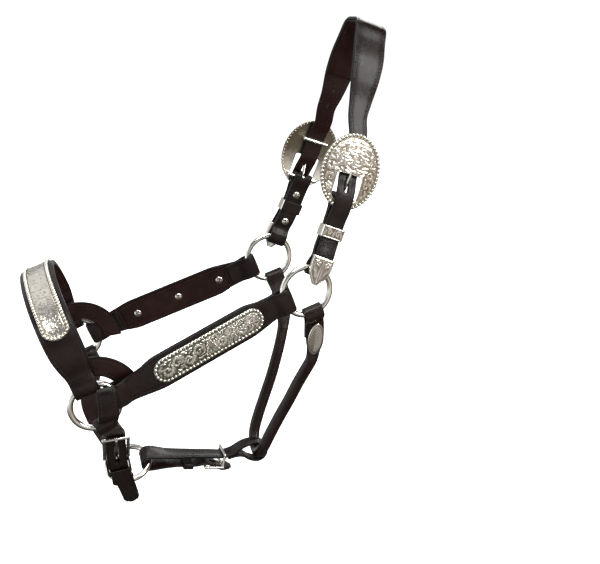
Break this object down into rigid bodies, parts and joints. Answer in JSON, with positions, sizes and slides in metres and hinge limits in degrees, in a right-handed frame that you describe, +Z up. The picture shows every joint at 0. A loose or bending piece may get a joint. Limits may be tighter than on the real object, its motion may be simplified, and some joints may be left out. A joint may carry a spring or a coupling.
{
  "type": "horse show halter",
  "caption": "Silver-mounted dark leather show halter: buckled crown, plated cheeks and noseband on ring joints, rolled throat strap, chin and jaw straps.",
  "frame": {"origin": "the middle of the crown lining's underside, where the halter rests on the horse's poll", "axes": "+Z up, -X towards the nose, -Y to the horse's left side"},
  "size_m": [0.3744, 0.1908, 0.5009],
  "materials": {
    "strap_leather": "dark brown bridle leather, waxed",
    "lining_leather": "red-brown lining leather",
    "engraved_silver": "engraved silver plate",
    "nickel": "polished nickel"
  },
  "bodies": {
    "headstall": {"crown_strap": "strap_leather", "crown_lining": "lining_leather", "left_buckle_plate": "engraved_silver", "left_hanger": "strap_leather", "left_hanger_screw_1": "nickel", "left_hanger_screw_2": "nickel", "left_billet_tip": "engraved_silver", "right_buckle_plate": "engraved_silver", "right_hanger": "strap_leather", "right_hanger_screw_1": "nickel", "right_hanger_screw_2": "nickel", "right_billet_tip": "engraved_silver"},
    "cheeks": {"left_cheek_strap": "strap_leather", "left_cheek_lining": "lining_leather", "left_cheek_plate": "engraved_silver", "left_cheek_screw_1": "nickel", "left_cheek_screw_2": "nickel", "left_cheek_screw_3": "nickel", "right_cheek_strap": "strap_leather", "right_cheek_lining": "lining_leather", "right_cheek_plate": "engraved_silver", "right_cheek_screw_1": "nickel", "right_cheek_screw_2": "nickel", "right_cheek_screw_3": "nickel"},
    "noseband": {"noseband_strap": "strap_leather", "noseband_lining": "lining_leather", "noseband_plate": "engraved_silver", "noseband_screw_1": "nickel", "noseband_screw_2": "nickel", "noseband_screw_3": "nickel", "left_ring_safe": "strap_leather", "right_ring_safe": "strap_leather"},
    "throat": {"throat_strap": "strap_leather", "left_throat_concho": "engraved_silver", "right_throat_concho": "engraved_silver", "left_throat_screw": "nickel", "right_throat_screw": "nickel"},
    "chin": {"left_chin_billet": "strap_leather", "chin_buckle": "nickel", "chin_buckle_strap": "strap_leather", "right_chin_strap": "strap_leather"},
    "jaw": {"jaw_strap": "strap_leather", "jaw_buckle": "nickel"},
    "left_keeper": {"left_billet_keeper": "engraved_silver"},
    "left_tongue": {"left_buckle_tongue": "nickel"},
    "left_cheek_o_ring": {"left_cheek_ring": "nickel"},
    "left_nose_o_ring": {"left_nose_ring": "nickel"},
    "right_keeper": {"right_billet_keeper": "engraved_silver"},
    "right_tongue": {"right_buckle_tongue": "nickel"},
    "right_cheek_o_ring": {"right_cheek_ring": "nickel"},
    "right_nose_o_ring": {"right_nose_ring": "nickel"},
    "chin_o_ring": {"chin_ring": "nickel"},
    "chin_tongue": {"chin_buckle_tongue": "nickel"},
    "chin_slide_keeper": {"chin_keeper": "strap_leather"},
    "jaw_tongue": {"jaw_buckle_tongue": "nickel"},
    "jaw_slide_keeper": {"jaw_keeper": "strap_leather"}
  },
  "joints": [
    {"name": "cheek_swing", "type": "hinge", "parent": "headstall", "child": "cheeks", "pos_m": [-0.08581, 0, -0.253], "axis": [0, 1, 0], "range_deg": [-15, 15]},
    {"name": "noseband_swing", "type": "hinge", "parent": "cheeks", "child": "noseband", "pos_m": [-0.30181, 0, -0.334], "axis": [0, 1, 0], "range_deg": [-8, 0]},
    {"name": "throat_swing", "type": "hinge", "parent": "cheeks", "child": "throat", "pos_m": [-0.08581, 0, -0.253], "axis": [0, 1, 0], "range_deg": [-1.5, 1.5]},
    {"name": "chin_swing", "type": "hinge", "parent": "cheeks", "child": "chin", "pos_m": [-0.30181, 0, -0.334], "axis": [0, 1, 0], "range_deg": [-3, 3]},
    {"name": "jaw_swing", "type": "hinge", "parent": "throat", "child": "jaw", "pos_m": [-0.12211, 0, -0.461], "axis": [0, 1, 0], "range_deg": [-3.4, 3.4]},
    {"name": "left_tongue_lift", "type": "hinge", "parent": "headstall", "child": "left_tongue", "pos_m": [-0.04746, -0.05712, -0.162], "axis": [0.9439, -0.0011, -0.3302], "range_deg": [0, 20]},
    {"name": "left_keeper_slide", "type": "slide", "parent": "headstall", "child": "left_keeper", "axis": [0.383, 0.0851, 0.9198], "range_m": [-0.004, 0.003]},
    {"name": "left_cheek_ring_turn", "type": "hinge", "parent": "headstall", "child": "left_cheek_o_ring", "pos_m": [-0.08581, -0.065, -0.253], "axis": [0, 1, 0], "continuous": true},
    {"name": "left_nose_ring_turn", "type": "hinge", "parent": "cheeks", "child": "left_nose_o_ring", "pos_m": [-0.30181, -0.088, -0.334], "axis": [0, 1, 0], "continuous": true},
    {"name": "right_tongue_lift", "type": "hinge", "parent": "headstall", "child": "right_tongue", "pos_m": [-0.04746, 0.05712, -0.162], "axis": [-0.9439, -0.0011, 0.3302], "range_deg": [0, 20]},
    {"name": "right_keeper_slide", "type": "slide", "parent": "headstall", "child": "right_keeper", "axis": [0.383, -0.0851, 0.9198], "range_m": [-0.004, 0.003]},
    {"name": "right_cheek_ring_turn", "type": "hinge", "parent": "headstall", "child": "right_cheek_o_ring", "pos_m": [-0.08581, 0.065, -0.253], "axis": [0, 1, 0], "continuous": true},
    {"name": "right_nose_ring_turn", "type": "hinge", "parent": "cheeks", "child": "right_nose_o_ring", "pos_m": [-0.30181, 0.088, -0.334], "axis": [0, 1, 0], "continuous": true},
    {"name": "chin_ring_turn", "type": "hinge", "parent": "chin", "child": "chin_o_ring", "pos_m": [-0.26681, 0, -0.45], "axis": [-0.1222, -0.3517, 0.9281], "continuous": true},
    {"name": "chin_tongue_lift", "type": "hinge", "parent": "chin", "child": "chin_tongue", "pos_m": [-0.28331, -0.054, -0.41], "axis": [0.9999, -0.0056, 0.014], "range_deg": [0, 20]},
    {"name": "chin_keeper_slide", "type": "slide", "parent": "chin", "child": "chin_slide_keeper", "axis": [0.1298, 0.5811, -0.8034], "range_m": [-0.0015, 0.0015]},
    {"name": "jaw_tongue_lift", "type": "hinge", "parent": "jaw", "child": "jaw_tongue", "pos_m": [-0.16505, 0, -0.46878], "axis": [0, -1, 0], "range_deg": [0, 20]},
    {"name": "jaw_keeper_slide", "type": "slide", "parent": "jaw", "child": "jaw_slide_keeper", "axis": [0.9823, 0, -0.1871], "range_m": [-0.004, 0.004]}
  ],
  "couplings": [
    {"joint": "chin_swing", "follows": "throat_swing", "ratio": 1.978},
    {"joint": "jaw_swing", "follows": "throat_swing", "ratio": -2.2225}
  ]
}
